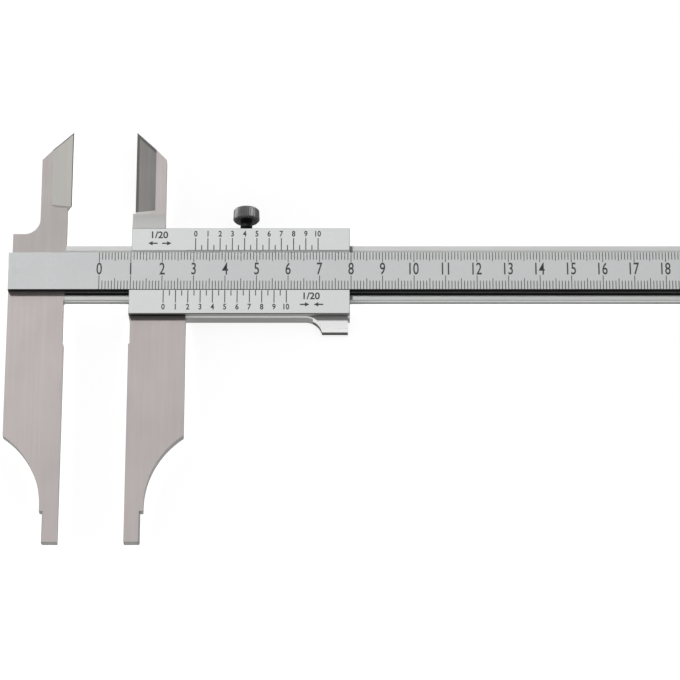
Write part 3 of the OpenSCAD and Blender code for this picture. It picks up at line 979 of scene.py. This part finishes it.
figure_row("main_scale_figures", "beam_assembly", [
    (str(count), ZERO_X + 10 * count, MAIN_LINE, MAIN_FIGURE)
    for count in range(SCALE_LENGTH // 10 + 1)
])
for name, zero, line in (
    ("upper_vernier_figures", UPPER_ZERO, UPPER_LINE),
    ("lower_vernier_figures", LOWER_ZERO, LOWER_LINE),
):
    figure_row(name, "slider", [
        (str(count), zero + 2 * count * VERNIER_STEP, line, VERNIER_FIGURE)
        for count in range(VERNIER_COUNT // 2 + 1)
    ], narrow=0.78, bold=0.035)

# %% [markdown]
# Each plate has a small plain label: the fraction of a millimetre that its vernier reads, and
# under it a pair of arrows. They point apart on the upper plate, whose scale measures inside a
# hole, and towards each other on the lower one, whose scale measures over the outside of a piece.

# %% Labels
LABEL_HEIGHT = 2.4
UPPER_LABEL = (UPPER_LOW.x + 8.9, 21.8)
LOWER_LABEL = (LOWER_HIGH.x - 12.1, 0.87)
ARROW_APART = 2.2
ARROW_BELOW = 2.9
ARROW = [
    (-1.5, -0.22), (0.1, -0.22), (0.1, -0.75), (1.5, 0), (0.1, 0.75), (0.1, 0.22), (-1.5, 0.22)
]


def arrow(x, y, way):
    """Outline of an arrow with its middle at (x, y) that points right (1) or left (-1)."""
    return [(x + way * along, y + across) for along, across in ARROW[::way]]


for name, (x, y), way in (("upper_label", UPPER_LABEL, 1), ("lower_label", LOWER_LABEL, -1)):
    figure_row(name + "_reading", "slider", [("1/20", x, y, LABEL_HEIGHT)],
               narrow=0.95, bold=0.03)
    inlay(name + "_arrows", "slider", [
        arrow(x + side * ARROW_APART, y - ARROW_BELOW, side * way) for side in (1, -1)
    ])

# %% [markdown]
# The lock screw is turned on a lathe: a threaded shank, a collar and a knurled head. A Screw
# modifier could sweep a profile round the axis, but neither a knurl nor a thread is the same all
# the way round. So both pieces are turned here from a profile, with the radius as a function of
# height and angle.

# %% Turned pieces
KNOB_LOW, KNOB_HIGH = box_mm("lock_knob")
LOCK_X = (KNOB_LOW.x + KNOB_HIGH.x) / 2
LOCK_Z = (KNOB_LOW.z + KNOB_HIGH.z) / 2
TURNED_ANGLE = math.radians(28)
END_FACING = 0.6


def turned(name, rows, steps, radius, body, finishes):
    """Closed surface round the lock screw's axis; radius(row, angle) gives its shape. The first
    finish is that of the flank, the last that of the end faces and their chamfers."""
    shape = bmesh.new()
    rings = []
    for row in rows:
        ring = []
        for step in range(steps):
            angle = 2 * math.pi * step / steps
            reach = radius(row, angle)
            ring.append(shape.verts.new(Vector((
                LOCK_X + reach * math.cos(angle), row[0], LOCK_Z + reach * math.sin(angle)
            )) * MM))
        rings.append(ring)
    for below, above in zip(rings, rings[1:]):
        for step in range(steps):
            following = (step + 1) % steps
            shape.faces.new((below[step], above[step], above[following], below[following]))
    for ring, turn in ((rings[0], 1), (rings[-1], -1)):
        shape.faces.new(ring[::turn])
    bmesh.ops.recalc_face_normals(shape, faces=shape.faces)
    mesh = bpy.data.meshes.new(name)
    shape.to_mesh(mesh)
    shape.free()
    for finish in finishes:
        mesh.materials.append(finish)
    for polygon in mesh.polygons:
        if abs(polygon.normal.y) > END_FACING:
            polygon.material_index = len(finishes) - 1
    piece = add_piece(name, mesh, body)
    soft_shading(piece, TURNED_ANGLE)
    print(piece.name, len(mesh.polygons), "faces")
    return piece


print("lock screw's axis at x", round(LOCK_X, 2), "mm, z", round(LOCK_Z, 2), "mm")

# %% [markdown]
# The head. A knurl is pressed in by a toothed wheel, so its teeth are even, and their ends run
# out on a chamfer. Each row of the profile says how much of the knurl it has, from none at the
# ends to all of it on the flank. The end face is dished, as the lathe leaves it.

# %% Knurled head
KNURL_TEETH = 44
KNURL_DEPTH = 0.28
TOOTH_STEPS = 4
KNOB_RADIUS = (KNOB_HIGH.x - KNOB_LOW.x) / 2
KNOB_CHAMFER = 0.6
KNOB_RIM = KNOB_RADIUS - KNOB_CHAMFER
KNOB_EDGE = 0.05
KNOB_BREAK = 0.1
KNOB_BASE = 3.0
KNOB_DISH = 0.12
DISH_RADIUS = 2.0
DISH_FLOOR = 1.7
CHAMFER_ROWS = 4


def knob_profile():
    """Rows (height, radius, share of the knurl) from the collar up to the end face."""
    low = KNOB_LOW.y
    high = KNOB_HIGH.y
    rows = [(low, KNOB_BASE, 0.0), (low, KNOB_RIM - KNOB_BREAK, 0.0)]
    for part in range(CHAMFER_ROWS + 1):
        share = part / CHAMFER_ROWS
        height = low + KNOB_EDGE + share * KNOB_CHAMFER
        rows.append((height, KNOB_RIM + KNOB_CHAMFER * share, share))
    for part in range(1, CHAMFER_ROWS + 1):
        share = 1 - part / CHAMFER_ROWS
        height = high - KNOB_EDGE - share * KNOB_CHAMFER
        rows.append((height, KNOB_RIM + KNOB_CHAMFER * share, share))
    rows.append((high, KNOB_RIM - KNOB_BREAK, 0.0))
    rows.append((high, DISH_RADIUS, 0.0))
    rows.append((high - KNOB_DISH, DISH_FLOOR, 0.0))
    return rows


def knob_radius(row, angle):
    """The profile's radius less the knurl's groove at this angle."""
    tooth = abs((angle * KNURL_TEETH / (2 * math.pi)) % 1 - 0.5) * 2
    return row[1] - KNURL_DEPTH * row[2] * (1 - tooth)


# Painted shade: the knob's end faces and chamfers are black, its flank the grey knurl finish.
lock_knob = turned("lock_knob_finished", knob_profile(), KNURL_TEETH * TOOTH_STEPS, knob_radius,
                   "lock", [knurl_steel, black_steel])
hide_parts("lock_knob")

# %% [markdown]
# The shank below it. The solid has a plain cylinder for its thread. Here the groove climbs with
# the angle, one pitch for each turn, and the pitch is the one that couples the screw's turn to
# its travel. Six rows for each turn are enough for a pitch of half a millimetre.

# %% Threaded shank and collar
SCREW_TIP = box_mm("lock_screw")[0].y
THREAD_RADIUS = 1.5
THREAD_PITCH = 0.5
THREAD_DEPTH = 0.27
THREAD_ROWS = 6
SCREW_STEPS = 48
TIP_RADIUS = 1.0
NECK_RADIUS = 1.2
STUD_RADIUS = 1.4
COLLAR_RADIUS = 1.9
COLLAR_HEIGHT = 2.2
LEAD = 0.3
EDGE = 0.15
FINE_EDGE = 0.05
COLLAR_EDGE = 0.1


def screw_profile():
    """Rows (height, radius, share of the thread) from the tip up into the head."""
    head = KNOB_LOW.y
    collar = head - COLLAR_HEIGHT
    rows = [(SCREW_TIP, TIP_RADIUS, 0.0), (SCREW_TIP + LEAD, THREAD_RADIUS - FINE_EDGE, 1.0)]
    height = SCREW_TIP + LEAD
    while height < collar - LEAD:
        height += THREAD_PITCH / THREAD_ROWS
        rows.append((height, THREAD_RADIUS, 1.0))
    rows.append((collar - EDGE, NECK_RADIUS, 0.0))
    rows.append((collar, NECK_RADIUS, 0.0))
    rows.append((collar, COLLAR_RADIUS - EDGE, 0.0))
    rows.append((collar + EDGE, COLLAR_RADIUS, 0.0))
    rows.append((head - COLLAR_EDGE, COLLAR_RADIUS, 0.0))
    rows.append((head, COLLAR_RADIUS - COLLAR_EDGE, 0.0))
    rows.append((head + LEAD, STUD_RADIUS, 0.0))
    return rows


def screw_radius(row, angle):
    """The profile's radius less the thread's groove at this height and angle."""
    turn = (row[0] / THREAD_PITCH - angle / (2 * math.pi)) % 1
    return row[1] - THREAD_DEPTH * row[2] * abs(turn - 0.5) * 2


lock_screw = turned("lock_screw_finished", screw_profile(), SCREW_STEPS, screw_radius, "lock",
                    [black_steel])
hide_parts("lock_screw")

# %% [markdown]
# The small pieces keep their own solids, because their shape is already right. They only need a
# finish: rivets that are ground flush with the satin face, turned screws, a brass gib and its
# pad.

# %% Finishes of the small pieces
for node, finish in (
    ("jaw_rivets", satin_face), ("end_stop_screws", screw_steel),
    ("upper_plate_screws", screw_steel), ("lower_plate_screws", screw_steel),
    ("gib_strip", brass), ("gib_set_screws", black_steel), ("lock_pad", brass),
):
    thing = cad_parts[node]
    for place in thing.material_slots:
        place.material = finish
    tool_only.objects.link(thing)
print("finished", len(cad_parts), "nodes")

# %% [markdown]
# The difference between the box of the finished pieces and the CAD model's box is printed.

# %% Print the size difference
low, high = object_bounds()
differences = [abs(a - b) / MM for a, b in zip((*low, *high), (*CAD_LOW, *CAD_HIGH))]
print("size difference, mm:", [round(difference, 3) for difference in differences])
